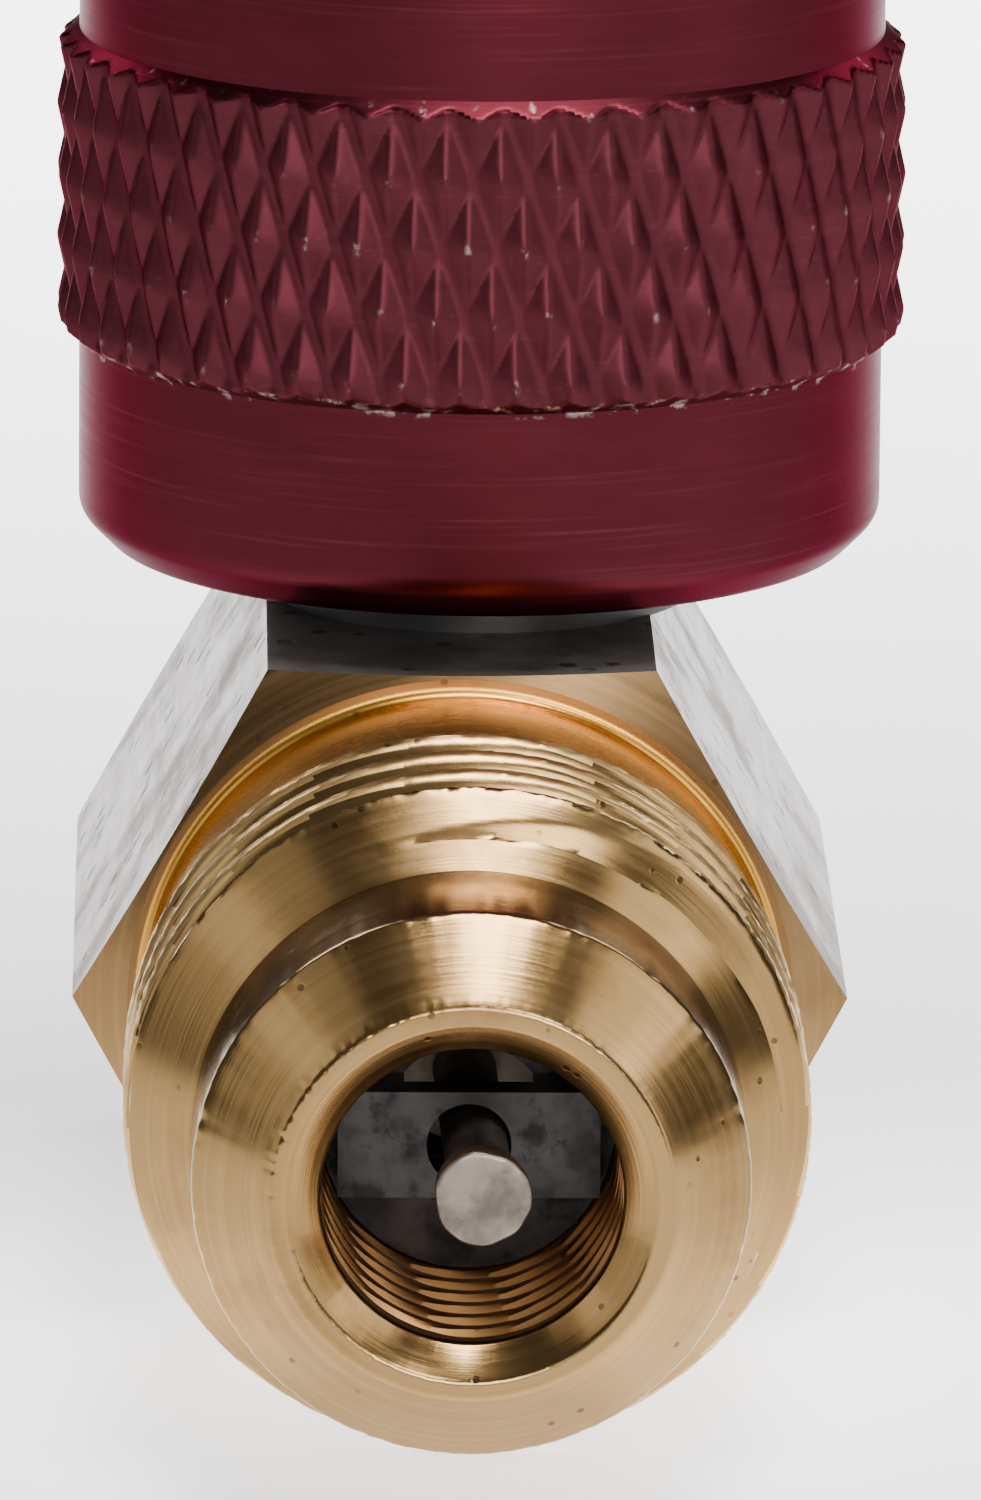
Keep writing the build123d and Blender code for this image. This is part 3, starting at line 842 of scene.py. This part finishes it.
def coil_mesh(name, start, end, radius, wire, turns, place):
    """A right-handed compression spring of round wire, with its end turns closed."""
    turn = np.linspace(0, turns, turns * STEPS_PER_TURN + 1)
    closed = END_TURN_PITCH * wire
    along = np.interp(turn, [0, 1, turns - 1, turns], [start, start + closed, end - closed, end])
    section = around(WIRE_SIDES)
    rows = [np.stack(place(at + wire * np.sin(section), radius + wire * np.cos(section), 2 * np.pi * t), 1)
            for at, t in zip(along, turn)]
    side = np.arange(WIRE_SIDES)
    following = (side + 1) % WIRE_SIDES
    faces = [side.tolist(), (len(rows) * WIRE_SIDES - 1 - side).tolist()]
    for row in range(len(rows) - 1):
        low, high = row * WIRE_SIDES, (row + 1) * WIRE_SIDES
        faces += np.stack([low + side, low + following, high + following, high + side], 1).tolist()
    mesh = bpy.data.meshes.new(name)
    mesh.from_pydata((np.concatenate(rows) * MM).tolist(), [], faces)
    tidy_mesh(mesh)
    return mesh


def add_spring(node, mesh):
    """A spring in place of its CAD node, on the body, with a mesh of its own."""
    spring = add_piece(node + "_detailed", mesh, (SPRING_STEEL,), "body", [node])
    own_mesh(spring)


POPPET_SPRING = (9.20, 13.10)
CORE_SPRING = (-10.54, -6.86)
poppet_coil = coil_mesh("poppet_spring_detailed", *POPPET_SPRING, radius=1.5, wire=0.18, turns=5,
                        place=place_on_sleeve)
core_coil = coil_mesh("core_spring_detailed", *CORE_SPRING, radius=0.95, wire=0.14, turns=6,
                      place=place_on_flare)
add_spring("poppet_spring", poppet_coil)
add_spring("core_spring", core_coil)


# ---------------------------------------------------------------- materials of the CAD nodes that stay
NODE_MATERIALS = {
    "coupler_stem": INNER_BRASS,
    # The spacer is a piece of its own, coloured black as painted shade for the gap under the sleeve.
    "sleeve_spacer": SHADE_BLACK_PLASTIC,
    "valve_seat_bush": INNER_BRASS,
    "poppet": INNER_BRASS,
    # The core's barrel and cup take the bore's brass copy, toned for the shade in the bore: painted shade.
    "core_barrel": SHADED_BORE_BRASS,
    "core_cup": SHADED_BORE_BRASS,
    "stem_seal": RUBBER,
    "sleeve_oring": RUBBER,
    "seat_gasket": RUBBER,
    "poppet_seal": RUBBER,
    "core_cup_washer": RUBBER,
    "thrust_washer": WHITE_SEAL,
    "core_barrel_seal": WHITE_SEAL,
    "depressor_pin": BRIGHT_STEEL,
    "core_plug": DARK_STEEL,
}
for node, material in NODE_MATERIALS.items():
    for material_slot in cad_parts[node].material_slots:
        material_slot.material = material


# ---------------------------------------------------------------- floor, light and camera
FLOOR_SIZE = 3.0
FLOOR_GREY = (0.93, 0.93, 0.93)
# The floor glows a little under the part and behind it: each patch's centre, radius and strength
GLOWS = (((0, -8, 0), 24, 2.4), ((0, 110, 0), 120, 3.0))


def stage_plane(name, size, colour):
    """A square floor at the part's foot; its size is in metres."""
    mesh = bpy.data.meshes.new(name)
    half = size / 2
    corners = [(-half, -half, 0), (half, -half, 0), (half, half, 0), (-half, half, 0)]
    mesh.from_pydata(corners, [], [(0, 1, 2, 3)])
    plane = bpy.data.objects.new(name, mesh)
    bpy.context.scene.collection.objects.link(plane)
    s = Shader(name + "_finish", colour, 0.0, 0.9)
    total = 0.0
    for centre, radius, strength in GLOWS:
        away = s.node("ShaderNodeVectorMath", operation="DISTANCE")
        s.link(s.where, away.inputs[0])
        away.inputs[1].default_value = Vector(centre) * MM
        glow = s.ramp(away.outputs["Value"], radius * MM, 0.0)
        total = s.math("ADD", s.math("MULTIPLY", glow, strength), total)
    s.bsdf.inputs["Emission Color"].default_value = (1, 1, 1, 1)
    s.link(total, s.bsdf.inputs["Emission Strength"])
    mesh.materials.append(s.material)


def soft_light(name, centre, aim, width, height, power):
    """A rectangular softbox, placed and aimed in millimetres, with its power in watts."""
    data = bpy.data.lights.new(name, "AREA")
    data.shape = "RECTANGLE"
    data.size = width * MM
    data.size_y = height * MM
    data.energy = power
    light = bpy.data.objects.new(name, data)
    bpy.context.scene.collection.objects.link(light)
    light.location = Vector(centre) * MM
    direction = (Vector(aim) - Vector(centre)).normalized()
    light.rotation_euler = direction.to_track_quat("-Z", "Y").to_euler()


stage_plane("floor", FLOOR_SIZE, FLOOR_GREY)
soft_light("overhead_softbox", (28, -36, 290), (8, -14, 6), 125, 110, 1.10)
soft_light("bore_light", (90, -190, 215), (0, -15, 6), 90, 90, 0.25)
soft_light("back_softbox", (0, 190, 130), (0, 190, 0), 300, 120, 0.75)
soft_light("front_softbox", (40, -330, 110), (0, -12, 10), 200, 110, 0.72)
soft_light("upper_left_fill", (-230, -40, 190), (0, -10, 8), 150, 150, 0.04)
soft_light("upper_right_fill", (230, -40, 190), (0, -10, 8), 150, 150, 0.17)
soft_light("left_fill", (-330, -120, 120), (0, -8, 10), 160, 260, 0.12)
soft_light("right_fill", (330, -160, 110), (0, -8, 10), 160, 260, 0.25)

world = bpy.data.worlds.new("studio")
bpy.context.scene.world = world
world.use_nodes = True
world.node_tree.nodes["Background"].inputs["Color"].default_value = (0.80, 0.80, 0.81, 1)
world.node_tree.nodes["Background"].inputs["Strength"].default_value = 0.15


def make_camera():
    """Looks at the outlet from slightly above, with a long lens."""
    forward = Vector((
        math.sin(CAMERA_AZIMUTH) * math.cos(CAMERA_DOWN),
        math.cos(CAMERA_AZIMUTH) * math.cos(CAMERA_DOWN),
        -math.sin(CAMERA_DOWN),
    ))
    level = Vector((math.cos(CAMERA_AZIMUTH), -math.sin(CAMERA_AZIMUTH), 0))
    upright = level.cross(forward)
    right = level * math.cos(CAMERA_ROLL) + upright * math.sin(CAMERA_ROLL)
    up = upright * math.cos(CAMERA_ROLL) - level * math.sin(CAMERA_ROLL)
    data = bpy.data.cameras.new("camera")
    data.lens = CAMERA_LENS
    data.clip_start = 0.005
    data.clip_end = 20
    camera = bpy.data.objects.new("camera", data)
    bpy.context.scene.collection.objects.link(camera)
    place = CAMERA_TARGET - forward * CAMERA_DISTANCE
    camera.matrix_world = Matrix((
        (right.x, up.x, -forward.x, place.x),
        (right.y, up.y, -forward.y, place.y),
        (right.z, up.z, -forward.z, place.z),
        (0, 0, 0, 1),
    ))
    bpy.context.scene.camera = camera


make_camera()
